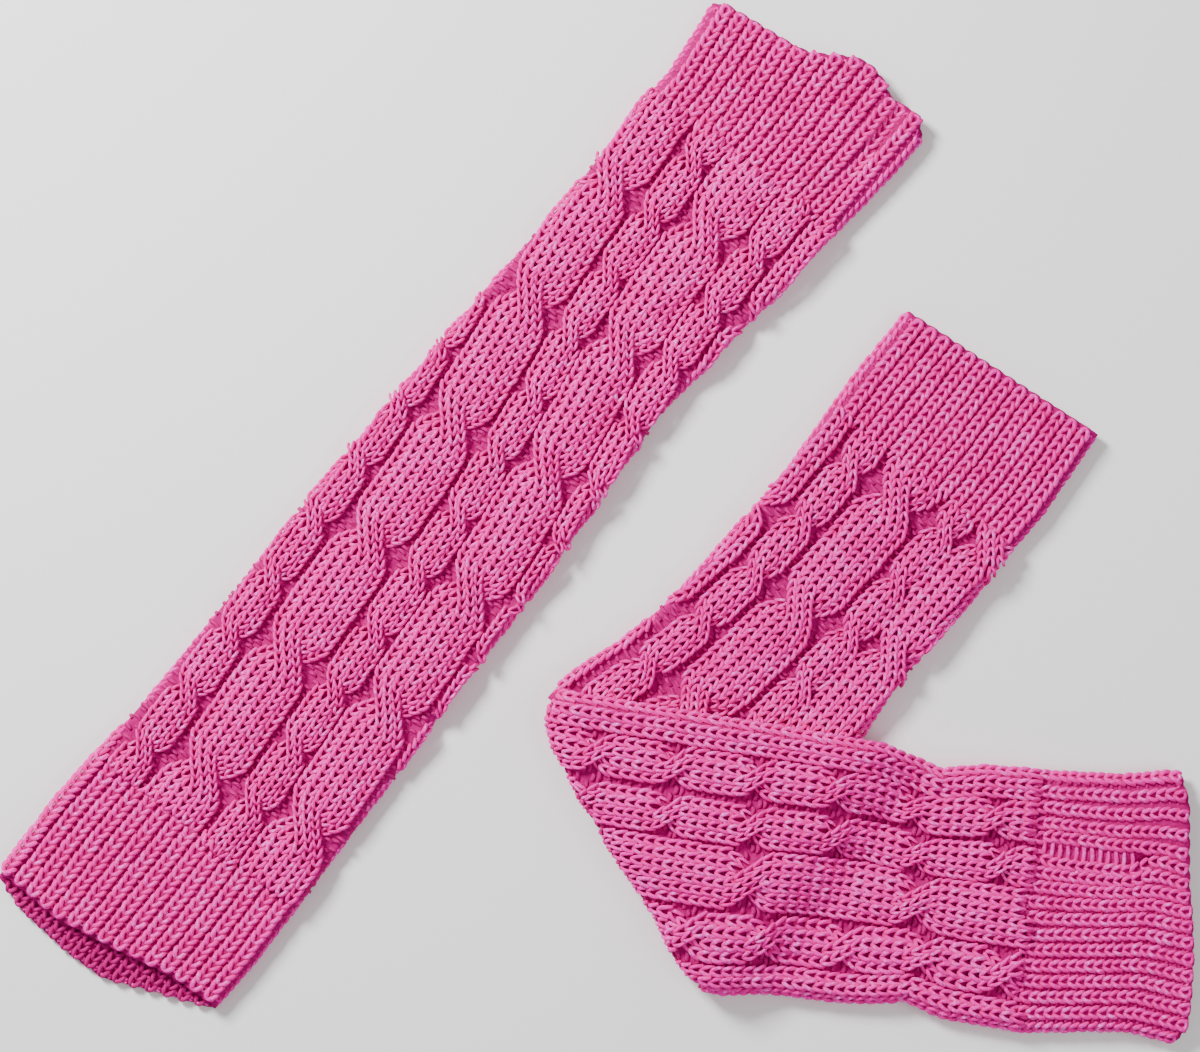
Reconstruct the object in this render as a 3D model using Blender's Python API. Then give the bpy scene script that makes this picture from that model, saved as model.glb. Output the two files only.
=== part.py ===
"""A pair of long knitted fingerless gloves, one laid straight and one folded over itself.

Each glove is a tube knitted in the round: a ribbed cuff at the arm, a long stretch of wide and
narrow cables, and a ribbed cuff at the hand with a slit for the thumb. Both lie flat.
Sizes are millimetres. X runs to the right, Y away from the viewer and Z up, with the floor at 0.
"""
import math

import bmesh
import bpy
from mathutils import Vector

MM = 0.001

# Cloth
WALL = 2.4
SLACK = 0.9                     # height of the hollow between a flat tube's two faces
TUBE = 2 * WALL + SLACK         # height of a flat tube without its raised pattern
BEND = TUBE / 2                 # radius of the fold along each side of a flat tube
SEAM = 0.3                      # between neighbouring pieces
GIRTH = 165.0                   # once round a tube, on which the pattern's places are measured
ROW = 3.6                       # between rows of points along a long stretch
LINING_ROW = 20.0               # between rows of points inside it
POCKET_COLUMNS = 12             # points round the hollow of the over arm
SETTLES = 8                     # tries at where a wale meets a slanting end of its tube

# Rows of points along the shorter stretches
CUFF_ROWS = 4
UNDER_ROWS = 30
OVER_ROWS = 37
POCKET_ROWS = 2

# Raised pattern
CABLE_RISE = 1.8
CROSSING = 1.75                 # length of a crossing, in half widths of its cable
STRAND = 1.05                   # half width of a strand, in quarters of its cable's width
SWELL = 0.3                     # how much wider the strand on top is at a crossing
SUNK = 0.8                      # how far the strand below goes down there
STRIP_SHARE = 0.7               # height of a plain wale, as a share of a cable's
RIB_RISE = 1.5
RIB_PITCH = 5.3
CLOSE_RIB_PITCH = 4.9           # on the folded glove's hand cuff, which is stretched wider
RIB_HALF = 0.42                 # half width of a rib, as a share of the pitch
RIBBED = 47.0                   # how far the ribs go to each side of a cuff's middle
RIM_WAVE = 0.5
FADE = 0.4                      # how far round the side fold the pattern goes down to nothing

# Thumb slits, between two places along and across each hand cuff, open at its seam
SLIT_WIDE = 1.0
SLIT_TALL = 12.0
STRAIGHT_SLIT = ((340.0, 36.0), (374.5, 33.0))
FOLDED_SLIT = ((44.0, -12.3), (88.4, -14.1))

# The over arm lies on the under arm
STEP = TUBE + CABLE_RISE + 0.4  # height of the over arm where it lies on the under arm
DRAPE = 20.0                    # how far it takes to come down to the floor beside the under arm
FOOT = 0.6                      # least height of the over arm's lowest edge
OVERHANG = 3.0                  # how far its side stands out over the under arm
NOSE = 7.5                      # radius of the fold, from the side
CORNER = 4.5                    # radius of the fold's corners, from above
POCKET = 36.0                   # how far the hollow runs into the over arm from the hand cuff
INWARD = (0.35, 1.4, 3.6)       # how far inside the fold its rings of points stand
SIDE_ANGLES = (30, 65, 100, 135)
HIDDEN_IN = (0.0, 2.0, -0.4)    # the hidden layers' edge: how far in from the over arm's side,
HIDDEN_UP = (1.0, 0.55, 0.0)    # and its height as a share of the over arm's
FLOOR_POINTS = 4                # across the underside

YARN = (0.86, 0.065, 0.34, 1.0)

# Widths along each arm: place along it, its left edge and its right edge
STRAIGHT_WIDTHS = (
    (0.0, -42.9, 42.9),
    (25.0, -43.4, 44.0),
    (77.0, -41.0, 42.4),
    (128.0, -40.6, 40.4),
    (180.0, -40.2, 39.2),
    (257.0, -37.6, 35.2),
    (295.0, -35.7, 38.6),
    (334.0, -36.0, 42.4),
    (350.0, -35.4, 44.0),
    (365.0, -36.8, 45.2),
    (380.0, -38.8, 46.2),
    (395.0, -38.8, 46.6),
)
UNDER_WIDTHS = (
    (-4.0, -38.6, 38.4),
    (27.0, -41.2, 38.6),
    (75.0, -39.1, 36.4),
    (102.0, -39.2, 37.0),
    (136.0, -40.4, 40.2),
    (151.0, -40.6, 43.0),
    (164.0, -40.8, 47.4),
    (172.0, -40.8, 49.8),
    (180.0, -40.8, 50.8),
)
OVER_WIDTHS = (
    (-120.0, -38.8, 53.2),
    (-52.0, -38.8, 53.2),
    (-28.0, -38.8, 50.0),
    (-6.0, -38.6, 49.2),
    (7.0, -35.4, 47.4),
    (15.5, -33.0, 45.2),
    (30.0, -36.6, 48.8),
    (58.0, -38.8, 49.2),
    (79.0, -41.3, 45.6),
    (93.0, -45.0, 43.4),
    (112.0, -45.4, 45.2),
)

# How far the pattern has turned round each tube: place along it, distance to the right
STRAIGHT_TURN = (
    (60.0, 9.2),
    (190.0, 3.4),
    (240.0, -2.0),
    (290.0, -10.0),
    (335.0, -13.4),
)
UNDER_TURN = ((54.0, 2.2), (104.0, 4.9), (149.0, 8.5))
OVER_TURN = ((0.0, 0.0), (1.0, 0.0))

# Cables: centre round the tube, half width, distance between crossings, one crossing's place
STRAIGHT_CABLES = (
    (-57.5, 11.2, 48.4, 211.0),
    (-38.8, 6.3, 24.2, 131.9),
    (-19.4, 11.2, 48.4, 211.0),
    (0.0, 6.3, 24.0, 211.0),
    (18.2, 11.2, 48.4, 217.9),
    (36.8, 6.3, 24.0, 295.8),
    (55.8, 11.2, 48.4, 300.0),
)
UNDER_CABLES = (
    (-55.5, 6.3, 24.0, 97.0),
    (-36.2, 11.2, 48.4, 97.2),
    (-19.7, 6.3, 23.4, 100.0),
    (0.0, 11.2, 48.4, 104.0),
    (20.0, 6.3, 23.8, 104.0),
    (39.6, 11.2, 48.4, 85.0),
    (58.0, 6.3, 24.0, 85.0),
)
OVER_CABLES = (
    (-28.4, 6.9, 27.5, -19.5),
    (-12.1, 6.9, 28.6, -17.0),
    (6.4, 10.4, 57.8, 13.9),
    (26.8, 8.4, 27.0, -8.0),
)
OVER_STRIPS = ((-39.4, 3.0), (39.6, 3.2))      # plain wales at the over arm's edges

# Rims: place across the tube, place along it, for the upper face and for the lower one
STRAIGHT_ARM_UPPER = ((-41.0, -4.4), (-19.0, -5.0), (2.0, -1.0), (24.0, 4.0), (43.0, 5.5))
STRAIGHT_ARM_LOWER = (
    (-41.0, -7.6),
    (-31.0, -11.0),
    (-7.0, -12.6),
    (7.0, -11.8),
    (19.0, -6.6),
    (43.0, 3.6),
)
STRAIGHT_HAND = (
    (-37.7, 377.0),
    (-34.0, 379.6),
    (-20.0, 381.4),
    (-6.0, 383.2),
    (-1.0, 385.0),
    (5.4, 389.2),
    (10.0, 392.2),
    (14.0, 393.8),
    (19.0, 394.0),
    (24.0, 392.6),
    (29.5, 389.6),
    (35.6, 390.6),
    (41.0, 390.8),
    (46.4, 385.0),
)
FOLDED_ARM = ((-38.6, -5.5), (38.6, 2.6))
FOLDED_HAND = (
    (-45.6, 96.0),
    (-36.0, 100.4),
    (-8.0, 105.0),
    (0.0, 107.2),
    (16.0, 110.4),
    (30.0, 111.8),
    (40.0, 112.0),
    (45.6, 108.0),
)

# Seams between the cuffs and the cabled stretches
STRAIGHT_ARM_SEAM = 47.6
STRAIGHT_HAND_SEAM = 341.7
FOLDED_ARM_SEAM = 43.1
FOLDED_HAND_SEAM = ((-46.0, 47.6), (46.0, 54.4))

# The fold: place across the over arm, place along it
FOLD = (
    (-38.8, -120.6),
    (-30.0, -119.4),
    (-20.0, -114.8),
    (-8.0, -105.9),
    (16.0, -85.6),
    (32.0, -70.8),
    (44.0, -63.6),
    (52.4, -56.9),
)

# A place along and across the under arm, on the line past which the over arm comes down
UNDER_EDGE = (126.4, -40.8)


def ease(x):
    """Go gently from 0 to 1 as x goes from 0 to 1."""
    x = min(max(x, 0.0), 1.0)
    return x * x * (3 - 2 * x)


def lookup(table, place, column=1):
    """Read a column of a table between the rows on each side of a place."""
    if place <= table[0][0]:
        return table[0][column]
    for before, after in zip(table, table[1:]):
        if place <= after[0]:
            share = (place - before[0]) / (after[0] - before[0])
            return before[column] + (after[column] - before[column]) * share
    return table[-1][column]


def bump(offset, half):
    """A round ridge, 1 at its crest and 0 at its sides."""
    return math.sqrt(max(0.0, 1 - (offset / half) ** 2))


def cable(offset, half, repeat, along):
    """Height of a cable: two strands, the one from the upper left runs over at each crossing."""
    phase = (along + repeat / 2) % repeat - repeat / 2
    sway = 2 * ease(phase / half / CROSSING + 0.5) - 1
    strand = half / 2
    crossing = 1 - ease(abs(phase) / half)
    over = bump(offset + sway * strand, strand * (STRAND + SWELL * crossing))
    under = bump(offset - sway * strand, strand * STRAND) * (1 - SUNK * crossing)
    return CABLE_RISE * max(over, under)


class Arm:
    """A flat tube on a straight axis, measured along it, across it to the right, and up."""

    def __init__(self, start, heading, widths, turn, cables, strips=(), pitch=RIB_PITCH):
        self.start = Vector(start)
        angle = math.radians(heading)
        self.ahead = Vector((math.cos(angle), math.sin(angle)))
        self.right = Vector((math.sin(angle), -math.cos(angle)))
        self.widths = widths
        self.turn = turn
        self.cables = cables
        self.strips = strips
        self.pitch = pitch

    def place(self, along, across, up):
        spot = self.start + self.ahead * along + self.right * across
        return Vector((spot.x, spot.y, up)) * MM

    def across_of(self, spot):
        return (spot - self.start).dot(self.right)

    def outline(self, fabric, along, inset=0.0):
        """Where a wale runs on the flat tube: across, up, and its outward direction."""
        left = lookup(self.widths, along, 1)
        right = lookup(self.widths, along, 2)
        radius = BEND - inset
        flat = (right - left) / 2 - BEND
        quarter = math.pi * radius
        turned = (fabric + lookup(self.turn, along)) / GIRTH
        way = (turned - math.floor(turned + 0.5)) * (4 * flat + 2 * quarter)
        side = 1 if way >= 0 else -1
        way = abs(way)
        if way <= flat:
            across, up, out, rise = way, radius, 0.0, 1.0
        elif way <= flat + quarter:
            out, rise = math.sin((way - flat) / radius), math.cos((way - flat) / radius)
            across, up = flat + radius * out, radius * rise
        else:
            across, up, out, rise = 2 * flat + quarter - way, -radius, 0.0, -1.0
        return (left + right) / 2 + side * across, BEND + up, side * out, rise

    def cabled(self, fabric, along):
        tall = 0.0
        for centre, half, repeat, crossing in self.cables:
            if abs(fabric - centre) < half:
                tall = max(tall, cable(fabric - centre, half, repeat, along - crossing))
        for centre, half in self.strips:
            tall = max(tall, STRIP_SHARE * CABLE_RISE * bump(fabric - centre, half))
        return tall

    def rib(self, fabric):
        """One rib's height round a cuff, from 0 in the groove to 1 on its crest."""
        offset = (fabric + self.pitch / 2) % self.pitch - self.pitch / 2
        return bump(offset, self.pitch * RIB_HALF)

    def ribbed(self, fabric, along):
        return RIB_RISE * self.rib(fabric)


# Where the points lie across a cable, as shares of its half width
WIDE_HALF = 9.0                 # a cable with a greater half width counts as wide
CABLE_EDGE = 5.0                # from the last cable's points to the plain underside
RIB_EDGE = 14.0                 # from the last rib to the plain underside
WIDE_SHARES = (-1.0, -0.66, -0.3, 0.0, 0.3, 0.66, 1.0)
NARROW_SHARES = (-1.0, -0.5, 0.0, 0.5, 1.0)


def cable_columns(arm):
    """Places round the tube that carry its cables, close on top and wide apart below."""
    columns = []
    for centre, half, repeat, crossing in arm.cables:
        shares = WIDE_SHARES if half > WIDE_HALF else NARROW_SHARES
        columns += [centre + share * half for share in shares]
    dense = max(abs(columns[0]), abs(columns[-1])) + CABLE_EDGE
    return sorted(columns) + [dense, GIRTH / 2, GIRTH - dense]


def cable_lining(arm):
    """Places round the plain inside, below each cable's middle and each gap between cables."""
    places = []
    for centre, half, repeat, crossing in arm.cables:
        places += [centre - half, centre]
    end = max(abs(places[0]), centre + half) + CABLE_EDGE
    return places + [centre + half, end, GIRTH / 2, GIRTH - end]


def rib_columns(arm, along):
    """Places round a cuff: two on each rib's crest and one in each groove, fewer below."""
    turned = lookup(arm.turn, along)
    first = math.ceil((-RIBBED - turned) / arm.pitch)
    last = math.floor((RIBBED - turned) / arm.pitch)
    columns = []
    for number in range(first, last + 1):
        centre = number * arm.pitch
        columns += [centre - arm.pitch / 2, centre - arm.pitch / 5, centre + arm.pitch / 5]
    left = columns[0] + GIRTH
    right = columns[-1] + arm.pitch * 3 / 10
    return columns + [right, right + RIB_EDGE, (left + right) / 2, left - RIB_EDGE]


def rib_lining(arm, along):
    """Places round the plain inside, one below each groove between ribs, fewer below."""
    return rib_columns(arm, along)[::3]


def zip_loops(mesh, first, second):
    """Join two chains of (place, point) rows, which run the same way, with triangles."""
    i = j = 0
    while i < len(first) - 1 or j < len(second) - 1:
        step_first = j == len(second) - 1
        if not step_first and i < len(first) - 1:
            step_first = first[i][0] + first[i + 1][0] <= second[j][0] + second[j + 1][0]
        if step_first:
            corners = (first[i][1], first[i + 1][1], second[j][1])
            i += 1
        else:
            corners = (first[i][1], second[j + 1][1], second[j][1])
            j += 1
        if len(set(corners)) == 3:
            mesh.faces.new(corners)


def grid_faces(mesh, rows, flip=False):
    """Fill between rows of points that each run once round."""
    for below, above in zip(rows, rows[1:]):
        count = len(below)
        for k in range(count):
            corners = [below[k], below[(k + 1) % count], above[(k + 1) % count], above[k]]
            mesh.faces.new(reversed(corners) if flip else corners)


def closed(places, points, whole):
    """A ring's chain of (place, point), ended by its first point one turn further on."""
    chain = list(zip(places, points))
    return chain + [(chain[0][0] + whole, chain[0][1])]


def ring(mesh, arm, columns, share, start, end, relief, inset=0.0):
    """One ring of points round a tube, a share of the way between its two ends."""
    points = []
    for fabric in columns:
        across, rise = 0.0, 1.0
        for settle in range(SETTLES):
            along = start(across, rise, fabric) * (1 - share) + end(across, rise, fabric) * share
            across, up, out, rise = arm.outline(fabric, along, inset)
        tall = relief(fabric, along) * ease(rise + FADE) if relief else 0.0
        point = arm.place(along, across + tall * out, up + tall * max(rise, 0))
        points.append(mesh.verts.new(point))
    return points


def finish(mesh, name, collection):
    """Turn the faces outwards and add the piece as an object with its own yarn material."""
    bmesh.ops.recalc_face_normals(mesh, faces=mesh.faces)
    data = bpy.data.meshes.new(name)
    mesh.to_mesh(data)
    mesh.free()
    data.shade_smooth()
    piece = bpy.data.objects.new(name, data)
    collection.objects.link(piece)
    yarn = bpy.data.materials.new(name + "_yarn")
    yarn.use_nodes = True
    shader = yarn.node_tree.nodes["Principled BSDF"]
    shader.inputs["Base Color"].default_value = YARN
    shader.inputs["Roughness"].default_value = 0.9
    shader.inputs["Metallic"].default_value = 0.0
    data.materials.append(yarn)
    return piece


def tube(name, collection, arm, columns, lining, start, end, relief, rows):
    """A stretch of knitted tube: its patterned outside over a plain inside, open at both ends."""
    mesh = bmesh.new()
    lining_rows = max(2, round(rows * ROW / LINING_ROW))
    outer = [ring(mesh, arm, columns, i / rows, start, end, relief) for i in range(rows + 1)]
    inner = [
        ring(mesh, arm, lining, i / lining_rows, start, end, None, WALL)
        for i in range(lining_rows + 1)
    ]
    grid_faces(mesh, outer)
    grid_faces(mesh, inner, flip=True)
    for end_row in (0, -1):
        zip_loops(
            mesh,
            closed(columns, outer[end_row], GIRTH),
            turned_to(closed(lining, inner[end_row], GIRTH), columns[0]),
        )
    return finish(mesh, name, collection)


def turned_to(chain, place):
    """Start a ring's chain at its point next to a place."""
    points = chain[:-1]
    places = [(spot - place + GIRTH / 2) % GIRTH + place - GIRTH / 2 for spot, point in points]
    k = min(range(len(points)), key=lambda n: abs(places[n] - place))
    turned = points[k:] + points[:k]
    start = places[k]
    return [(start + (spot - points[k][0]) % GIRTH, point) for spot, point in turned] + [
        (start + GIRTH, points[k][1])
    ]


def table_line(table, arm=None, wave=0.0, shift=0.0):
    """A tube's end along a table, the same on both faces, waved by an arm's ribs if it has any."""

    def line(across, rise, fabric):
        return lookup(table, across) + (wave * arm.rib(fabric) if arm else 0.0) + shift

    return line


def level_line(along):
    """A tube's end straight across."""

    def line(across, rise, fabric):
        return along

    return line


STRAIGHT = Arm((-166.81, -141.72), 51.38, STRAIGHT_WIDTHS, STRAIGHT_TURN, STRAIGHT_CABLES)
UNDER = Arm((136.47, 49.70), 230.96, UNDER_WIDTHS, UNDER_TURN, UNDER_CABLES)
OVER = Arm(
    (95.67, -114.52), -9.26, OVER_WIDTHS, OVER_TURN, OVER_CABLES, OVER_STRIPS, CLOSE_RIB_PITCH,
)
OVER_HALF = (OVER_WIDTHS[0][2] - OVER_WIDTHS[0][1]) / 2 - BEND     # of the over arm's flat top
UPPER_SHARE = 0.52                     # of the over arm's girth, from side to side over its top


def straight_arm_rim(across, rise, fabric):
    """The lower face reaches out beyond the upper one, which shows the mouth between them."""
    upper = lookup(STRAIGHT_ARM_UPPER, across)
    lower = lookup(STRAIGHT_ARM_LOWER, across)
    share = ease((rise + 1) / 2)
    return lower + (upper - lower) * share - RIM_WAVE * STRAIGHT.rib(fabric)


def under_end(across, rise, fabric):
    """Where the under arm goes below the over arm's side."""
    here = UNDER.start + UNDER.right * across
    side = OVER_WIDTHS[0][1] + OVERHANG - SEAM
    return (side - OVER.across_of(here)) / UNDER.ahead.dot(OVER.right)


def straight_glove(collection):
    tube(
        "straight_arm_cuff", collection, STRAIGHT, rib_columns(STRAIGHT, 0.0),
        rib_lining(STRAIGHT, 0.0), straight_arm_rim, level_line(STRAIGHT_ARM_SEAM - SEAM / 2),
        STRAIGHT.ribbed, CUFF_ROWS,
    )
    tube(
        "straight_cable_body", collection, STRAIGHT, cable_columns(STRAIGHT), cable_lining(STRAIGHT),
        level_line(STRAIGHT_ARM_SEAM + SEAM / 2), level_line(STRAIGHT_HAND_SEAM - SEAM / 2),
        STRAIGHT.cabled, round((STRAIGHT_HAND_SEAM - STRAIGHT_ARM_SEAM) / ROW),
    )
    hand = tube(
        "straight_hand_cuff", collection, STRAIGHT, rib_columns(STRAIGHT, STRAIGHT_HAND_SEAM),
        rib_lining(STRAIGHT, STRAIGHT_HAND_SEAM),
        level_line(STRAIGHT_HAND_SEAM + SEAM / 2), table_line(STRAIGHT_HAND, STRAIGHT, RIM_WAVE),
        STRAIGHT.ribbed, CUFF_ROWS,
    )
    slit(hand, STRAIGHT, *STRAIGHT_SLIT)


def folded_glove(collection):
    tube(
        "folded_arm_cuff", collection, UNDER, rib_columns(UNDER, 0.0), rib_lining(UNDER, 0.0),
        table_line(FOLDED_ARM, UNDER, -RIM_WAVE),
        level_line(FOLDED_ARM_SEAM - SEAM / 2), UNDER.ribbed, CUFF_ROWS,
    )
    tube(
        "folded_under_stretch", collection, UNDER, cable_columns(UNDER), cable_lining(UNDER),
        level_line(FOLDED_ARM_SEAM + SEAM / 2), under_end, UNDER.cabled, UNDER_ROWS,
    )
    over_stretch(collection)
    hand = tube(
        "folded_hand_cuff", collection, OVER, rib_columns(OVER, 0.0), rib_lining(OVER, 0.0),
        table_line(FOLDED_HAND_SEAM, shift=SEAM / 2), table_line(FOLDED_HAND, OVER, RIM_WAVE),
        OVER.ribbed, CUFF_ROWS,
    )
    slit(hand, OVER, *FOLDED_SLIT)


def over_height(spot):
    """How high the over arm's lower side lies, above the under arm or beside it."""
    corner = OVER.start + OVER.ahead * FOLD[-1][1] + OVER.right * FOLD[-1][0]
    edge = UNDER.start + UNDER.ahead * UNDER_EDGE[0] + UNDER.right * UNDER_EDGE[1]
    run = (edge - corner).normalized()
    beyond = (spot - corner).dot(Vector((run.y, -run.x)))
    return max(STEP * (1 - ease(beyond / DRAPE)), FOOT)


def over_spot(wale, out, inward, share):
    """Where a wale of the over arm is, along and across, in a ring inside the fold."""
    trim = CORNER * (1 - math.sqrt(1 - max(0.0, 1 - inward / CORNER) ** 2))
    along = FOLD[-1][1]
    for settle in range(2):
        left = lookup(OVER_WIDTHS, along, 1) + trim
        right = lookup(OVER_WIDTHS, along, 2) - trim
        flat = (right - left) / 2 - BEND
        across = (left + right) / 2 + wale * flat / OVER_HALF + BEND * out
        begin = lookup(FOLD, across) + inward
        end = lookup(FOLDED_HAND_SEAM, across) - SEAM / 2
        along = begin * (1 - share) + end * share
    return along, across


def over_profile():
    """The over arm's wales from one side to the other: place, how far out and up each faces."""
    angles = [math.radians(angle) for angle in SIDE_ANGLES]
    wales = [place for place in cable_columns(OVER)[:-3] if abs(place) < OVER_HALF - 1]
    wales = [-OVER_HALF, OVER_STRIPS[0][0], *wales, OVER_STRIPS[1][0], OVER_HALF]
    left = [(-OVER_HALF, -math.sin(a), math.cos(a)) for a in reversed(angles)]
    right = [(OVER_HALF, math.sin(a), math.cos(a)) for a in angles]
    return left + [(wale, 0.0, 1.0) for wale in wales] + right


def hidden_edge(along, across, way, bulges, squeeze):
    """The hidden layers' edge below one side of the over arm, from its side to the floor."""
    base = over_height(OVER.start + OVER.ahead * along + OVER.right * across)
    middle = (base + TUBE) / 2
    under = OVERHANG - BEND * (1 - math.sin(math.radians(SIDE_ANGLES[-1])))
    points = []
    for inside, share in zip(HIDDEN_IN, HIDDEN_UP):
        bulge = inside * base / STEP if bulges and inside > 0 else min(inside, 0.0)
        height = middle + (base * share - middle) * squeeze
        points.append(OVER.place(along, across + way * (under - bulge), height))
    return points


def over_ring(mesh, inward, share):
    """One ring of the over arm: its top and sides, then the edge of the hidden layers."""
    squeeze = math.sqrt(1 - max(0.0, 1 - inward / NOSE) ** 2)
    points, places = [], []
    for wale, out, rise in over_profile():
        along, across = over_spot(wale, out, inward, share)
        base = over_height(OVER.start + OVER.ahead * along + OVER.right * across)
        middle = (base + TUBE) / 2
        tall = OVER.cabled(wale, along) * ease(rise + FADE) * max(rise, 0)
        up = base + BEND + BEND * rise + tall
        points.append(OVER.place(along, across, middle + (up - middle) * squeeze))
        places.append((along, across))
    top = len(points)
    right = hidden_edge(*places[-1], -1, True, squeeze)
    left = hidden_edge(*places[0], 1, False, squeeze)[::-1]
    steps = range(1, FLOOR_POINTS + 1)
    floor = [right[-1].lerp(left[0], step / (FLOOR_POINTS + 1)) for step in steps]
    return [mesh.verts.new(point) for point in points + right + floor + left], top


def over_stretch(collection):
    """The fold and the arm above it, in one solid with the layers that they hide."""
    mesh = bmesh.new()
    rings = [over_ring(mesh, inward, 0.0)[0] for inward in INWARD]
    for i in range(OVER_ROWS + 1):
        points, top = over_ring(mesh, NOSE, i / OVER_ROWS)
        rings.append(points)
    grid_faces(mesh, rings)
    nose = rings[0]
    upper = [(k / (top + 3), point) for k, point in enumerate(nose[: top + 2])]
    below = [nose[0]] + nose[:top:-1]
    lower = [(k / (len(below) - 1), point) for k, point in enumerate(below)]
    zip_loops(mesh, upper, lower)
    pocket(mesh, rings[-1], top)
    return finish(mesh, "folded_over_stretch", collection)


def pocket(mesh, outside, top):
    """The hollow between the over arm's two faces, from its hand end to a closed end inside."""
    lining = [(k + 0.5) * GIRTH / POCKET_COLUMNS - GIRTH / 2 for k in range(POCKET_COLUMNS)]
    deep = table_line(FOLDED_HAND_SEAM, shift=-SEAM / 2 - POCKET)
    seam = table_line(FOLDED_HAND_SEAM, shift=-SEAM / 2)
    rows = [
        ring(mesh, OVER, lining, i / POCKET_ROWS, deep, seam, None, WALL)
        for i in range(POCKET_ROWS + 1)
    ]
    for row in rows:
        for point in row:
            point.co.z += FOOT * MM
    grid_faces(mesh, rows, flip=True)
    cap = rows[0]
    for k in range(POCKET_COLUMNS // 2 - 1):
        mesh.faces.new((cap[k], cap[k + 1], cap[-k - 2], cap[-k - 1]))
    upper_half = GIRTH * UPPER_SHARE
    rest = len(outside) - top
    places = [(k / (top - 1) - 0.5) * upper_half for k in range(top)]
    places += [places[-1] + (k + 1) / (rest + 1) * (GIRTH - upper_half) for k in range(rest)]
    zip_loops(
        mesh,
        closed(places, outside, GIRTH),
        turned_to(closed(lining, rows[-1], GIRTH), places[0]),
    )


def slit(cuff, arm, start, end):
    """Cut the thumb slit through a cuff's upper face, between two places on it."""
    first = arm.place(start[0], start[1], BEND)
    last = arm.place(end[0], end[1], BEND)
    run = last - first
    bpy.ops.mesh.primitive_cube_add(size=1)
    cutter = bpy.context.object
    cutter.name = cuff.name + "_slit"
    cutter.scale = (run.length, SLIT_WIDE * MM, SLIT_TALL * MM)
    cutter.location = (first + last) / 2 + Vector((0, 0, SLIT_TALL * MM / 2))
    cutter.rotation_euler.z = math.atan2(run.y, run.x)
    cutter.hide_render = True
    cutter.display_type = "WIRE"
    for collection in list(cutter.users_collection):
        collection.objects.unlink(cutter)
    bpy.data.collections["Cutters"].objects.link(cutter)
    cut = cuff.modifiers.new("Thumb slit", "BOOLEAN")
    cut.operation = "DIFFERENCE"
    cut.object = cutter


def build():
    for item in list(bpy.data.objects):
        bpy.data.objects.remove(item)
    gloves = bpy.data.collections.new("Fingerless gloves")
    cutters = bpy.data.collections.new("Cutters")
    for collection in (gloves, cutters):
        bpy.context.scene.collection.children.link(collection)
    straight_glove(gloves)
    folded_glove(gloves)


build()
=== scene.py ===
"""A pair of long knitted fingerless gloves in thick pink yarn, one straight and one folded.

Every stitch that shows is a loop of yarn on the cloth: plain wales, wide and narrow cables whose
strands cross, purl ground between them, ribbed cuffs, and the cast-off loops along each rim.
"""
import math
import random
from functools import partial

import bmesh
import bpy
from bpy.props import FloatProperty, FloatVectorProperty, IntProperty, PointerProperty
from mathutils import Matrix, Vector


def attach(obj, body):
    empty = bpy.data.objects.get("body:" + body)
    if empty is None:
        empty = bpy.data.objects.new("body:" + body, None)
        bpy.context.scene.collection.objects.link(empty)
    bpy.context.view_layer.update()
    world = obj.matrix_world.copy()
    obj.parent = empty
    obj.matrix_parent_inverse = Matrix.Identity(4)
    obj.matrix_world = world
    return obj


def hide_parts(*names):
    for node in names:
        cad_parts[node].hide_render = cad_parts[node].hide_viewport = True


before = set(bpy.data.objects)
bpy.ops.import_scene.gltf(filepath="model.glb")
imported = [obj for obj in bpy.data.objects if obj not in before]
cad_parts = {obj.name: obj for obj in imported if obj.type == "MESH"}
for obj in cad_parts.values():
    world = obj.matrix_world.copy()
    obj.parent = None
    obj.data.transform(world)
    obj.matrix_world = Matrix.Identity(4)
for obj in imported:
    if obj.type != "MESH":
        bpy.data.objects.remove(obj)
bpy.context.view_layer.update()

bl_info = {
    "name": "Knitted fingerless gloves",
    "version": (1, 0, 0),
    "blender": (4, 5, 0),
    "location": "View3D > Sidebar > Gloves",
    "description": "Knits a pair of cabled fingerless gloves, stitch by stitch, over their solids",
    "category": "Object",
}

MM = 0.001

# Sizes of the solids, in millimetres
WALL = 2.4
SLACK = 0.9
TUBE = 2 * WALL + SLACK
BEND = TUBE / 2
SEAM = 0.3
GIRTH = 165.0
CABLE_RISE = 1.8
RIB_HALF = 0.42
RIB_PITCH = 5.3
CLOSE_RIB_PITCH = 4.9
STEP = TUBE + CABLE_RISE + 0.4  # how high the upper arm lies on the under arm
DRAPE = 28.0  # how far it takes to come down beside it
FOOT = 0.6
OVERHANG = 3.0
NOSE = 7.5  # how far the fold rounds out
FOLD_CORNERS = ((-1, 11.0, 4.0), (1, 15.0, 4.5))  # side, how wide and how deep they are rounded
FOLD_PLACE = -80.0  # along the upper arm, where its width at the fold is taken
HAND_PLACE = 50.0  # the same at its ribbed cuff
CROSSING = 1.75  # length of a crossing, in half widths of its cable

# The scene's cloth: its relief, and the size and count of its faces
GROUND_SHARE = 0.7  # how much of a cable's rise the cloth below its stitches has
PLAIN_SHARE = 0.75  # the same of a stretch of wales that never cross
RIB_CLOTH = 0.75  # height of the cloth below a rib
SIDE_FROM = 0.4  # how far up a wale faces where relief starts
CLOTH_ROW = 3.0
CLOTH_COLUMNS = 132
OVER_COLUMNS, OVER_ROWS = 96, 76

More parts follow.
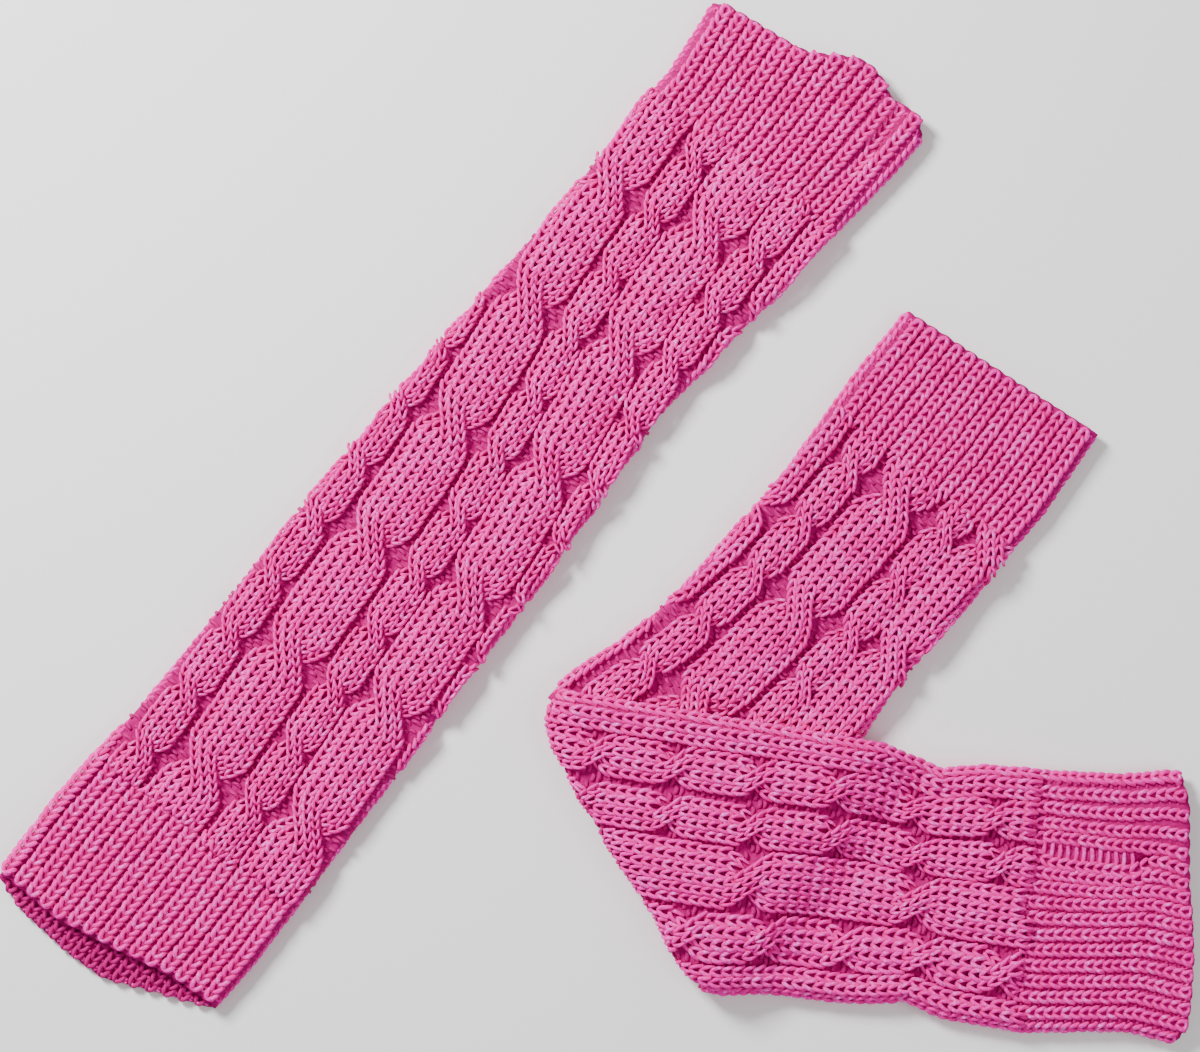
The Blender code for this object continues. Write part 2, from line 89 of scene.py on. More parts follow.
# Stitches: how high they stand, which of them show, and how they differ
STITCH_SHARE = 1.75  # how much higher than its cloth a cable's stitches stand
STANDING = 0.35  # how far stitches stand over the cloth
SINK = 0.7  # how far they lie in it along the tube's sides
NOSE_SHARE = 0.4  # how much of their height stands out round the fold
NOSE_SEEN = 2.3  # how far round it they go, in parts of NOSE
LEAST_RISE = -0.5  # how far up a wale faces where its stitches start
DIVE = 0.6  # how far a strand goes down below the one that crosses it
HIDDEN = 0.9  # its stitches this near the other's middle are left out, in quarter cables
PURL_RISE = 0.3  # how far up the ground faces where its bars start
PURL_UP = 0.25  # how high the bars stand
PURL_WIDE = 3.0
PURL_GAP = 0.3  # the narrowest gap that gets bars
RIBBED = 62.0  # how far the ribs go to each side of a cuff's first wale
RIB_ROW = 3.0
RIB_WIDE, GROOVE_WIDE = 0.73, 0.36  # widths of their stitches, as shares of the pitch
RIB_UP, GROOVE_UP = 0.95, 0.05  # how high the stitches stand
RIB_LOOP_UP, GROOVE_LOOP_UP = 0.75, -0.1  # the same of the loops along the rim
TILT, STRAY, GROWTH = 0.05, 0.08, 0.035  # how uneven stitches are, in radians, millimetres, shares

# Where pieces of knitting begin and end along their arms
STRAIGHT_MIDDLE = 196.0
UNDER_LAST = 185.0
UNDER_HIDDEN = 178.5
OVER_KNITTED = (-133.0, 56.0)

# Widths along each arm: place along it, its left edge and its right edge
STRAIGHT_WIDTHS = (
    (0.0, -42.9, 42.9), (25.0, -43.4, 44.0), (77.0, -41.0, 42.4), (128.0, -40.6, 40.4),
    (180.0, -40.2, 39.2), (257.0, -37.6, 35.2), (295.0, -35.7, 38.6), (334.0, -36.0, 42.4),
    (350.0, -35.4, 44.0), (365.0, -36.8, 45.2), (380.0, -38.8, 46.2), (395.0, -38.8, 46.6),
)
UNDER_WIDTHS = (
    (-4.0, -38.6, 38.4), (27.0, -41.2, 38.6), (75.0, -39.1, 36.4), (102.0, -39.2, 37.0),
    (136.0, -40.4, 40.2), (151.0, -40.6, 43.0), (164.0, -40.8, 47.4), (172.0, -40.8, 49.8),
    (180.0, -40.8, 50.8),
)
OVER_WIDTHS = (
    (-120.0, -38.8, 53.2), (-52.0, -38.8, 53.2), (-28.0, -38.8, 50.0), (-6.0, -38.6, 49.2),
    (7.0, -35.4, 47.4), (15.5, -33.0, 45.2), (30.0, -36.6, 48.8), (58.0, -38.8, 49.2),
    (79.0, -41.3, 45.6), (93.0, -45.0, 43.4), (112.0, -45.4, 45.2),
)

# How far the pattern has turned round each tube: place along it, distance to the right
STRAIGHT_TURN = ((60.0, 9.2), (190.0, 3.4), (240.0, -2.0), (290.0, -10.0), (335.0, -13.4))
UNDER_TURN = ((54.0, 2.2), (104.0, 4.9), (149.0, 8.5))
OVER_TURN = ((0.0, 0.0), (1.0, 0.0))

# Cables: centre round the tube, half width, wales, distance between crossings, one crossing's place
STRAIGHT_CABLES = (
    (-57.5, 10.9, 6, 48.4, 211.0),
    (-38.8, 6.3, 4, 24.2, 131.9),
    (-19.4, 10.9, 6, 48.4, 211.0),
    (0.0, 6.3, 4, 24.0, 211.0),
    (18.2, 10.9, 6, 48.4, 217.9),
    (36.8, 6.3, 4, 24.0, 295.8),
    (55.8, 10.9, 6, 48.4, 300.0),
)
UNDER_CABLES = (
    (-55.5, 6.3, 4, 24.0, 97.0),
    (-36.2, 10.9, 6, 48.4, 97.2),
    (-19.7, 6.3, 4, 23.4, 100.0),
    (0.0, 10.9, 6, 48.4, 104.0),
    (20.0, 6.3, 4, 23.8, 104.0),
    (39.6, 10.9, 6, 48.4, 85.0),
    (58.0, 6.3, 4, 24.0, 85.0),
)
OVER_CABLES = (
    (-43.4, 7.2, 4, 0.0, 0.0),
    (-28.4, 6.9, 4, 27.5, -19.5),
    (-12.1, 6.9, 4, 28.6, -17.0),
    (6.4, 10.4, 6, 57.8, 13.9),
    (26.8, 8.4, 4, 27.0, -8.0),
    (43.7, 7.2, 4, 0.0, 0.0),
)

# Rims: place across the tube, place along it
STRAIGHT_ARM_UPPER = ((-41.0, -4.4), (-19.0, -5.0), (2.0, -1.0), (24.0, 4.0), (43.0, 5.5))
STRAIGHT_ARM_LOWER = (
    (-41.0, -7.6), (-31.0, -11.0), (-7.0, -12.6), (7.0, -11.8), (19.0, -6.6), (43.0, 3.6),
)
STRAIGHT_HAND = (
    (-37.7, 377.0), (-34.0, 379.6), (-20.0, 381.4), (-6.0, 383.2), (-1.0, 385.0), (5.4, 389.2),
    (10.0, 392.2), (14.0, 393.8), (19.0, 394.0), (24.0, 392.6), (29.5, 389.6), (35.6, 390.6),
    (41.0, 390.8), (46.4, 385.0),
)
FOLDED_ARM = ((-38.6, -5.5), (38.6, 2.6))
FOLDED_HAND = (
    (-45.6, 96.0), (-36.0, 100.4), (-8.0, 105.0), (0.0, 107.2), (16.0, 110.4), (30.0, 111.8),
    (40.0, 112.0), (45.6, 108.0),
)
STRAIGHT_ARM_SEAM = 47.6
STRAIGHT_HAND_SEAM = 341.7
FOLDED_ARM_SEAM = 43.1
FOLDED_HAND_SEAM = ((-46.0, 47.6), (46.0, 54.4))
FOLD = (
    (-38.8, -120.6), (-30.0, -119.4), (-20.0, -114.8), (-8.0, -105.9), (16.0, -85.6), (32.0, -70.8),
    (44.0, -63.6), (52.4, -56.9),
)
UNDER_EDGE = (126.4, -40.8)

# Thumb slits: place along the arm, place round it
THUMB_SLIT = ((341.0, 45.5), (388.0, 41.0))
LADDER_SLIT = ((52.8, -17.0), (88.4, -13.4))
LADDER_GROOVE = -3.5 * CLOSE_RIB_PITCH
LADDER_ROWS = (53.0, 86.0, 2.8)

# Points of the loops' Bezier legs, in stitch widths, stitch heights and yarn thicknesses
STITCH_LEG = ((0.05, -0.54, -0.45), (0.26, -0.34, 0.50), (0.44, 0.04, 0.50), (0.41, 0.64, -0.45))
BAR_LEG = ((-0.48, -0.10, -0.30), (-0.25, 0.05, 0.25), (0.25, 0.05, 0.25), (0.48, -0.10, -0.30))
RIM_LEG = ((-0.33, -0.50, -0.10), (-0.38, 0.30, 0.10), (0.38, 0.30, 0.10), (0.33, -0.50, -0.10))

# Stage: the surface, the lamps by name, place, size and power, and the camera
FLOOR_HALF = 0.7
FLOOR_UP = -0.0001
WORLD_LIGHT = 0.42
LAMPS = (
    ("Key light", (-0.60, 0.62, 0.72), 0.30, 25.0),
    ("Fill light", (0.8, -0.3, 0.9), 0.9, 5.0),
)
CAMERA_AT = (0.00047, -0.00096, 0.969)


def ease(x):
    """Go gently from 0 to 1 as x goes from 0 to 1."""
    x = min(max(x, 0.0), 1.0)
    return x * x * (3 - 2 * x)


def lookup(table, place, column=1):
    """Read a column of a table between the rows on each side of a place."""
    if place <= table[0][0]:
        return table[0][column]
    for before, after in zip(table, table[1:]):
        if place <= after[0]:
            share = (place - before[0]) / (after[0] - before[0])
            return before[column] + (after[column] - before[column]) * share
    return table[-1][column]


def bump(offset, half):
    """A round ridge, 1 at its crest and 0 at its sides."""
    return math.sqrt(max(0.0, 1 - (offset / half) ** 2))


class Arm:
    """A flat tube on a straight axis, measured along it, across it to the right, and up."""

    def __init__(self, start, heading, widths, turn, pitch=RIB_PITCH):
        self.start = Vector(start)
        angle = math.radians(heading)
        self.ahead = Vector((math.cos(angle), math.sin(angle)))
        self.right = Vector((math.sin(angle), -math.cos(angle)))
        self.widths = widths
        self.turn = turn
        self.pitch = pitch

    def place(self, along, across, up):
        spot = self.start + self.ahead * along + self.right * across
        return Vector((spot.x, spot.y, up)) * MM

    def outline(self, fabric, along, inset=0.0):
        """Where a wale runs on the flat tube: across, up, and how far it faces out and up."""
        left = lookup(self.widths, along, 1)
        right = lookup(self.widths, along, 2)
        radius = BEND - inset
        flat = (right - left) / 2 - BEND
        quarter = math.pi * radius
        turned = (fabric + lookup(self.turn, along)) / GIRTH
        way = (turned - math.floor(turned + 0.5)) * (4 * flat + 2 * quarter)
        side = 1 if way >= 0 else -1
        way = abs(way)
        if way <= flat:
            across, up, out, rise = way, radius, 0.0, 1.0
        elif way <= flat + quarter:
            out, rise = math.sin((way - flat) / radius), math.cos((way - flat) / radius)
            across, up = flat + radius * out, radius * rise
        else:
            across, up, out, rise = 2 * flat + quarter - way, -radius, 0.0, -1.0
        return (left + right) / 2 + side * across, BEND + up, side * out, rise

    def surface(self, fabric, along, height=0.0):
        """A point at a height over the tube's plain outside."""
        across, up, out, rise = self.outline(fabric, along)
        return self.place(along, across + height * out, up + height * rise)

    def rise(self, fabric, along):
        return self.outline(fabric, along)[3]

    def rib(self, fabric):
        """One rib's height round a cuff, from 0 in the groove to 1 on its crest."""
        offset = (fabric + self.pitch / 2) % self.pitch - self.pitch / 2
        return bump(offset, self.pitch * RIB_HALF)


STRAIGHT = Arm((-166.81, -141.72), 51.38, STRAIGHT_WIDTHS, STRAIGHT_TURN)
UNDER = Arm((136.47, 49.70), 230.96, UNDER_WIDTHS, UNDER_TURN)
OVER = Arm((95.67, -114.52), -9.26, OVER_WIDTHS, OVER_TURN, CLOSE_RIB_PITCH)


class OverArm:
    """The folded glove's upper stretch: over the fold, along the under arm and down beside it."""

    half = (OVER_WIDTHS[0][2] - OVER_WIDTHS[0][1]) / 2 - BEND
    arc = math.radians(135)

    def height_below(self, spot):
        """How high the arm's underside is: up on the under arm, or down on the surface."""
        corner = OVER.start + OVER.ahead * FOLD[-1][1] + OVER.right * FOLD[-1][0]
        edge = UNDER.start + UNDER.ahead * UNDER_EDGE[0] + UNDER.right * UNDER_EDGE[1]
        run = (edge - corner).normalized()
        beyond = (spot - corner).dot(Vector((run.y, -run.x)))
        return max(STEP * (1 - ease(beyond / DRAPE)), FOOT)

    def profile(self, fabric):
        """How far across the flat top a wale lies, and how far out and up it faces."""
        side = 1 if fabric >= 0 else -1
        beyond = abs(fabric) - self.half
        if beyond <= 0:
            return fabric, 0.0, 1.0
        turn = min(beyond / BEND, self.arc)
        return side * self.half, side * math.sin(turn), math.cos(turn)

    def across(self, fabric, along, height=0.0):
        wale, out, _ = self.profile(fabric)
        left, right = lookup(OVER_WIDTHS, along, 1), lookup(OVER_WIDTHS, along, 2)
        flat = (right - left) / 2 - BEND
        return (left + right) / 2 + wale * flat / self.half + (BEND + height) * out

    def crest(self, fabric):
        """Where a wale reaches the top after it has come up round the fold."""
        corner = 0.0
        for side, wide, deep in FOLD_CORNERS:
            beyond = 1 - abs(side * self.half - min(max(fabric, -self.half), self.half)) / wide
            if beyond > 0:
                corner = deep * (1 - math.sqrt(1 - beyond ** 2))
        return lookup(FOLD, self.across(fabric, FOLD_PLACE)) + NOSE + corner

    def far(self, fabric):
        """Where a wale meets the ribbed cuff."""
        return lookup(FOLDED_HAND_SEAM, self.across(fabric, HAND_PLACE))

    def surface(self, fabric, along, height=0.0):
        """A point over the stretch; before the crest the wale runs down round the fold."""
        crest = self.crest(fabric)
        nose = min(max((crest - along) / NOSE, 0.0), math.pi)
        across = self.across(fabric, max(along, crest), height)
        real = along if nose == 0.0 else crest - (NOSE + NOSE_SHARE * height) * math.sin(nose)
        spot = OVER.start + OVER.ahead * real + OVER.right * across
        base = self.height_below(spot)
        up = base + BEND + (BEND + height) * self.rise(fabric, along)
        if nose > 0.0:
            middle = (base + TUBE) / 2
            up = middle + (up - middle) * math.cos(nose)
        return OVER.place(real, across, up)

    def rise(self, fabric, along):
        return self.profile(fabric)[2]

    def shows(self, fabric, along):
        """Whether a stitch is seen: not below the side, the fold or the ribbed cuff."""
        if self.rise(fabric, along) <= LEAST_RISE:
            return False
        return self.crest(fabric) - NOSE_SEEN * NOSE < along < self.far(fabric)


OVER_TOP = OverArm()


def length(name, description, default, low, high):
    return FloatProperty(
        name=name, description=description, default=default, min=low, max=high, unit="LENGTH",
    )


def colour(name, description, *default):
    return FloatVectorProperty(
        name=name, description=description, default=default, size=3, min=0, max=1, subtype="COLOR",
    )


class YarnSizes(bpy.types.PropertyGroup):
    """Sizes of the knitting."""

    thickness: length("Yarn thickness", "Across the yarn of a plain stitch", 0.00145, 0.0005, 0.005)
    wale: length("Stitch width", "From one wale of plain stitches to the next", 0.00375, 0.001, 0.01)
    row: length("Stitch height", "From one row of stitches to the next", 0.003025, 0.001, 0.01)
    over_row: length("Upper arm's stitch height", "The same, stretched", 0.0036, 0.001, 0.01)
    shell: length("Cloth thickness", "Of the ground that the stitches stand on", 0.0016, 0.0005, 0.004)
    unevenness: FloatProperty(
        name="Unevenness", description="How much stitches differ from each other, as by hand",
        default=1.0, min=0.0, max=3.0,
    )
    seed: IntProperty(name="Seed", description="Of the stitches' unevenness", default=7, min=0)


class YarnColours(bpy.types.PropertyGroup):
    """Colours of the yarn, with its painted light and shade, and of the stage."""

    # light is the yarn's lit tone; deep is its painted shade, between the plies and at the ends of
    # each leg
    light: colour("Yarn", "Fibres where light falls on them", 1.0, 0.0, 0.45)
    deep: colour("Deep yarn", "Between the plies", 0.74, 0.0, 0.24)
    # below is painted shade, for the cloth and for the yarn in the gaps between the cables and inside
    # the straight glove's mouth; the last yarn colour is the deepest painted shade, between the
    # ground's loops
    below: colour("Yarn below", "In the gaps between the cables and in the ground", 0.52, 0.0, 0.19)
    darkest_painted_shade: colour("Darkest yarn", "Between the loops of the ground", 0.36, 0.0, 0.12)
    # glint is a painted highlight on single fibres, put into the yarn's colour
    glint: colour("Glint", "Single fibres that catch the light", 1.0, 0.22, 0.80)
    floor: colour("Surface", "The plain surface below the gloves", 0.97, 0.97, 0.97)


def plug(tree, node, values):
    """Link a node's inputs, by number or by name, to sockets, or set them to plain values."""
    for key, value in values:
        entry = node.inputs[key.replace("_", " ") if isinstance(key, str) else key]
        value = getattr(value, "socket", value)
        if isinstance(value, bpy.types.NodeSocket):
            tree.links.new(value, entry)
        else:
            entry.default_value = value


def add_node(tree, kind, settings=None, *values, **named):
    """A new node with its settings, and with its inputs in order or by name."""
    made = tree.nodes.new(kind)
    for key, value in (settings or {}).items():
        setattr(made, key, value)
    plug(tree, made, [*enumerate(values), *named.items()])
    return made


class Wire:
    """A shader socket on which Python's operators add Math nodes."""

    def __init__(self, sheet, socket):
        self.sheet = sheet
        self.socket = socket

    def math(self, operation, *others):
        return self.sheet.node("ShaderNodeMath", {"operation": operation}, self, *others)

    def __add__(self, other):
        return self.math("ADD", other)

    def __sub__(self, other):
        return self.math("SUBTRACT", other)

    def __rsub__(self, other):
        return self.sheet.node("ShaderNodeMath", {"operation": "SUBTRACT"}, other, self)

    def __mul__(self, other):
        return self.math("MULTIPLY", other)

    def sine(self):
        return self.math("SINE")


class Finish:
    """A material's node tree, and the shader that it ends in."""

    def __init__(self, name, roughness):
        self.material = bpy.data.materials.new(name)
        self.material.use_nodes = True
        self.tree = self.material.node_tree
        self.shader = self.tree.nodes["Principled BSDF"]
        self.feed(Roughness=roughness)

    def node(self, kind, settings=None, *values, out=0, **named):
        return Wire(self, add_node(self.tree, kind, settings, *values, **named).outputs[out])

    def mix(self, share, first, second):
        """A mix of two colours, each a wire or a plain colour."""
        made = add_node(self.tree, "ShaderNodeMix", {"data_type": "RGBA"}, share)
        ends = [end if isinstance(end, Wire) else (*end[:3], 1) for end in (first, second)]
        plug(self.tree, made, enumerate(ends, 6))
        return Wire(self, made.outputs[2])

    def feed(self, **values):
        plug(self.tree, self.shader, values.items())


def yarn_finish(name, light, deep, glint):
    """Thick soft yarn: plies twisted round it, fine fibres, painted glints on a few, painted shade
    between the plies and at each leg's ends, and soft sheen.
    """
    finish = Finish(name, 0.7)

    def noise(scale, detail=2.0, **named):
        return finish.node("ShaderNodeTexNoise", {}, Vector=place, Scale=scale, Detail=detail, **named)

    def spread(wire, low, high, most):
        return finish.node("ShaderNodeMapRange", {"clamp": True}, wire, low, high, 0.0, most)

    place = finish.node("ShaderNodeTexCoord", out="Object")
    round_it = finish.node("ShaderNodeUVMap", {"uv_map": "yarn"})
    parts = add_node(finish.tree, "ShaderNodeSeparateXYZ", {}, round_it).outputs
    along, turn = Wire(finish, parts[0]), Wire(finish, parts[1])
    shade = finish.node("ShaderNodeAttribute", {"attribute_name": "shade"}, out="Fac")
    twist = ((along * 1.6 + turn * 2.0 + shade) * (2 * math.pi)).sine() * 0.5 + 0.5
    fibres = noise(2400.0, 3.0, Roughness=0.6)
    patches = noise(60.0)
    # Painted light: the yarn is lighter on its ply crests and in the middle of each leg, and painted
    # shade makes it deeper between the plies and at the leg ends; random fibres, patches and each
    # stitch's random tone vary it too
    ends = (along * math.pi).sine()
    painted_light_share = twist * 0.35 + (fibres - 0.5) * 1.2 + ends * 0.55
    painted_light_share = painted_light_share + (shade - 0.5) * 0.3 + (patches - 0.5) * 0.5
    body = finish.mix(spread(painted_light_share, 0.1, 0.75, 1.0), deep, light)
    # Painted glints: single fibres, mostly in the middle of each leg, take the glint colour
    strands = noise(900.0)
    painted_glint_mask = spread(strands * 0.6 + fibres * 0.4 + (shade - 0.5) * 0.16, 0.54, 0.66, 0.85)
    bumps = finish.node(
        "ShaderNodeBump", {}, Height=twist * 0.6 + fibres * 0.5, Strength=0.6, Distance=0.0004,
    )
    finish.feed(
        Base_Color=finish.mix(painted_glint_mask * ends, body, glint), Normal=bumps, Specular_IOR_Level=0.12,
        Sheen_Weight=0.06, Sheen_Roughness=0.4, Sheen_Tint=(1.0, 0.20, 0.65, 1),
    )
    return finish.material


def ground_finish(name, colours):
    """The cloth below the stitches: low purl bumps, with painted shade that keeps it deeper than what
    stands out and deepest between its loops.
    """
    finish = Finish(name, 0.85)
    place = finish.node("ShaderNodeTexCoord", out="Object")
    loops = finish.node(
        "ShaderNodeTexVoronoi", {"feature": "SMOOTH_F1"}, Vector=place, Scale=420.0,
    )
    fibres = finish.node("ShaderNodeTexNoise", {}, Vector=place, Scale=2200.0, Detail=3.0)
    raised = 1.0 - loops
    bumps = finish.node(
        "ShaderNodeBump", {}, Height=raised + fibres * 0.3, Strength=0.9, Distance=0.0009,
    )
    # Painted shade: deeper in the hollows between the loops, lighter on their tops
    coloured = finish.mix(raised * 0.5 + fibres * 0.4, colours.darkest_painted_shade, colours.below)
    finish.feed(Base_Color=coloured, Normal=bumps, Specular_IOR_Level=0.05)
    return finish.material


def loop_tree(name, legs, sides, steps):
    """Geometry nodes that put a loop of yarn on every mark, turned and sized as the mark says.

    legs holds each leg's four Bezier points, in stitch widths, stitch heights and yarn thicknesses.
    """
    tree = bpy.data.node_groups.new(name, "GeometryNodeTree")
    for label, kind, way in (
        ("Geometry", "Geometry", "INPUT"), ("Stitch width", "Float", "INPUT"),
        ("Stitch height", "Float", "INPUT"), ("Yarn thickness", "Float", "INPUT"),
        ("Yarn", "Material", "INPUT"), ("Geometry", "Geometry", "OUTPUT"),
    ):
        tree.interface.new_socket(name=label, in_out=way, socket_type="NodeSocket" + kind)

    def add(kind, settings=None, *values, **named):
        return add_node(tree, kind, settings, *values, **named).outputs[0]

    def captured(geometry, label, value):
        made = add_node(tree, "GeometryNodeCaptureAttribute")
        made.capture_items.new("FLOAT", label)
        plug(tree, made, enumerate((geometry, value)))
        return made.outputs[:2]

    given = add_node(tree, "NodeGroupInput").outputs
    unit = add("ShaderNodeCombineXYZ", {}, given[1], given[2], given[3])
    half = add("ShaderNodeMath", {"operation": "MULTIPLY"}, given[3], 0.5)
    round_yarn = add("GeometryNodeCurvePrimitiveCircle", Resolution=sides, Radius=half)
    joined = add_node(tree, "GeometryNodeJoinGeometry")
    for leg in legs:
        start, first, second, end = (
            add("ShaderNodeVectorMath", {"operation": "MULTIPLY"}, point, unit) for point in leg
        )
        path = add(
            "GeometryNodeCurvePrimitiveBezierSegment", Resolution=steps, Start=start,
            Start_Handle=first, End_Handle=second, End=end,
        )
        factor = add("GeometryNodeSplineParameter")
        arch = add("ShaderNodeMath", {"operation": "MULTIPLY"}, factor, math.pi)
        swell = add("ShaderNodeMath", {"operation": "SINE"}, arch)
        radius = add("ShaderNodeMapRange", {"clamp": True}, swell, 0.0, 0.8, 0.62, 1.0)
        sized = add("GeometryNodeSetCurveRadius", Curve=path, Radius=radius)
        kept, along = captured(sized, "along", factor)
        ring, turn = captured(round_yarn, "turn", factor)
        skin = add("GeometryNodeCurveToMesh", Curve=kept, Profile_Curve=ring, Fill_Caps=True)
        place = add("ShaderNodeCombineXYZ", X=along, Y=turn)
        stored = add(
            "GeometryNodeStoreNamedAttribute", {"data_type": "FLOAT2", "domain": "CORNER"},
            Geometry=skin, Name="yarn", Value=place,
        )
        tree.links.new(stored, joined.inputs[0])
    turn, size = (
        add("GeometryNodeInputNamedAttribute", {"data_type": "FLOAT_VECTOR"}, Name=label)
        for label in ("turn", "size")
    )
    turned = add("FunctionNodeEulerToRotation", {}, turn)
    spread = add(
        "GeometryNodeInstanceOnPoints", Points=given[0], Instance=joined.outputs[0],
        Rotation=turned, Scale=size,
    )
    real = add("GeometryNodeRealizeInstances", Geometry=spread)
    smooth = add("GeometryNodeSetShadeSmooth", Geometry=real)
    coloured = add("GeometryNodeSetMaterial", Geometry=smooth, Material=given[4])
    add_node(tree, "NodeGroupOutput", {}, coloured)
    return tree


def stitch_frame(surface, fabric, along, height, slant=0.0):
    """Where a stitch sits, and its axes: to the right, along its wale, and out of the cloth."""
    spot = surface(fabric, along, height)
    lean = slant / 2
    before = surface(fabric - lean, along - 0.5, height)
    ahead = surface(fabric + lean, along + 0.5, height) - before
    across = surface(fabric + 0.5, along, height) - surface(fabric - 0.5, along, height)
    stretch = across.length / MM
    ahead.normalize()
    out = across.cross(ahead).normalized()
    right = ahead.cross(out)
    return spot, Matrix((right, ahead, out)).transposed(), stretch


class Marks:
    """Places for stitches, each with its turn, its size and its shade."""

    def __init__(self, sizes):
        self.rows = []
        self.sizes = sizes
        self.wale, self.row = sizes.wale / MM, sizes.row / MM
        self.random = random.Random(sizes.seed)

    def add(self, spot, axes, size):
        uneven, much = self.random.gauss, self.sizes.unevenness
        tilt = Matrix.Rotation(uneven(0, TILT) * much, 3, "Z")
        tilt = tilt @ Matrix.Rotation(uneven(0, TILT) * much, 3, "Y")
        moved = axes @ Vector([uneven(0, STRAY * MM) * much for axis in range(3)])
        grown = [part * (1 + uneven(0, GROWTH) * much) for part in size]
        turn = (axes @ tilt).to_euler()
        self.rows.append((spot + moved, turn, grown, self.random.random()))

    def piece(self, name, tree, material):
        """Knit the marks into one mesh of yarn loops."""
        data = bpy.data.meshes.new(name)
        data.from_pydata([row[0] for row in self.rows], [], [])
        for label, column in (("turn", 1), ("size", 2)):
            layer = data.attributes.new(label, "FLOAT_VECTOR", "POINT")
            layer.data.foreach_set("vector", [part for row in self.rows for part in row[column]])
        layer = data.attributes.new("shade", "FLOAT", "POINT")
        layer.data.foreach_set("value", [row[3] for row in self.rows])
        marks = bpy.data.objects.new(name, data)
        bpy.context.scene.collection.objects.link(marks)
        knit = marks.modifiers.new("Knit", "NODES")
        knit.node_group = tree
        given = (
            ("Stitch width", self.sizes.wale), ("Stitch height", self.sizes.row),
            ("Yarn thickness", self.sizes.thickness), ("Yarn", material),
        )
        for label, value in given:
            knit[tree.interface.items_tree[label].identifier] = value
        graph = bpy.context.evaluated_depsgraph_get()
        knitted = bpy.data.meshes.new_from_object(
            marks.evaluated_get(graph), preserve_all_data_layers=True, depsgraph=graph,
        )
        marks.modifiers.clear()
        marks.data = knitted
        knitted.name = name
        knitted.materials.clear()
        knitted.materials.append(material)
        if "material_index" in knitted.attributes:
            knitted.attributes.remove(knitted.attributes["material_index"])
        bpy.data.meshes.remove(data)
        if "yarn" in knitted.attributes and knitted.uv_layers:
            knitted.uv_layers.active = knitted.uv_layers["yarn"]
        return marks


def sway(phase, half):
    """How far a cable's strands have changed places, from -1 before a crossing to 1 after it."""
    return 2 * ease(phase / (CROSSING * half) + 0.5) - 1


def cable_phase(along, repeat, crossing):
    return (along - crossing + repeat / 2) % repeat - repeat / 2


def reach(cable, along):
    """How far a cable's stitches reach to each side of its centre at a place along it."""
    _, half, _, repeat, crossing = cable
    if not repeat:
        return half
    return half / 2 * (1 + abs(sway(cable_phase(along, repeat, crossing), half)))


def relief_at(cable, offset, along):
    """How high a cable stands off its centre: a dome, or the strand that crosses over."""
    _, half, _, repeat, crossing = cable
    dome = bump(offset, reach(cable, along) * 1.04)
    if not repeat:
        return PLAIN_SHARE * dome
    phase = cable_phase(along, repeat, crossing)
    close = 1 - ease(abs(phase) / half)
    strand = bump(offset + half / 2 * sway(phase, half), half / 2 * (1.08 + 0.1 * close))
    return dome * (1 - 0.6 * close) + strand * close


def strand_path(half, side, way):
    """A strand through one repeat: its phase and offset at every short step."""
    count = round(way / 0.25)
    phases = [-way / 2 + number * 0.25 for number in range(count + 1)]
    return [(phase, side * sway(phase, half) * half / 2) for phase in phases]


def cable_stitches(cable, start, end, tall):
    """Each stitch of a cable between two places: along, offset, slant, length, over or under."""
    _, half, wales, repeat, crossing = cable
    width = 2 * half / wales
    if not repeat:
        for along, step in rows_between(start, end, tall):
            for number in range(wales):
                yield along, (number + 0.5 - wales / 2) * width, 0.0, step, 0
        return
    first = math.floor((start - crossing) / repeat - 0.5)
    last = math.ceil((end - crossing) / repeat + 0.5)
    for turn in range(first, last + 1):
        middle = crossing + turn * repeat
        for side in (-1, 1):
            path = strand_path(half, side, repeat)
            lengths = [0.0]
            for (x0, y0), (x1, y1) in zip(path, path[1:]):
                lengths.append(lengths[-1] + math.hypot(x1 - x0, y1 - y0))
            count = round(lengths[-1] / tall)
            step = lengths[-1] / count
            k = 0
            for row in range(count):
                goal = (row + 0.5) * step
                while lengths[k + 1] < goal:
                    k += 1
                share = (goal - lengths[k]) / (lengths[k + 1] - lengths[k])
                (x0, y0), (x1, y1) = path[k], path[k + 1]
                offset = y0 + (y1 - y0) * share
                slant = (y1 - y0) / (x1 - x0)
                along = middle + (x0 + (x1 - x0) * share)
                if start < along < end:
                    for number in range(wales // 2):
                        within = (number + 0.5 - wales / 4) * width
                        yield along, offset + within, slant, step, side


def ground_height(cables, fabric, along):
    """How high the cloth stands below the stitches: raised under cables, low between them."""
    tall = 0.0
    for cable in cables:
        if abs(fabric - cable[0]) < cable[1] * 1.05:
            tall = max(tall, relief_at(cable, fabric - cable[0], along))
    return CABLE_RISE * GROUND_SHARE * tall


def side_share(rise):
    """Relief fades down the tube's side, so that its underside rests flat."""
    return ease((rise - SIDE_FROM) / (1 - SIDE_FROM))


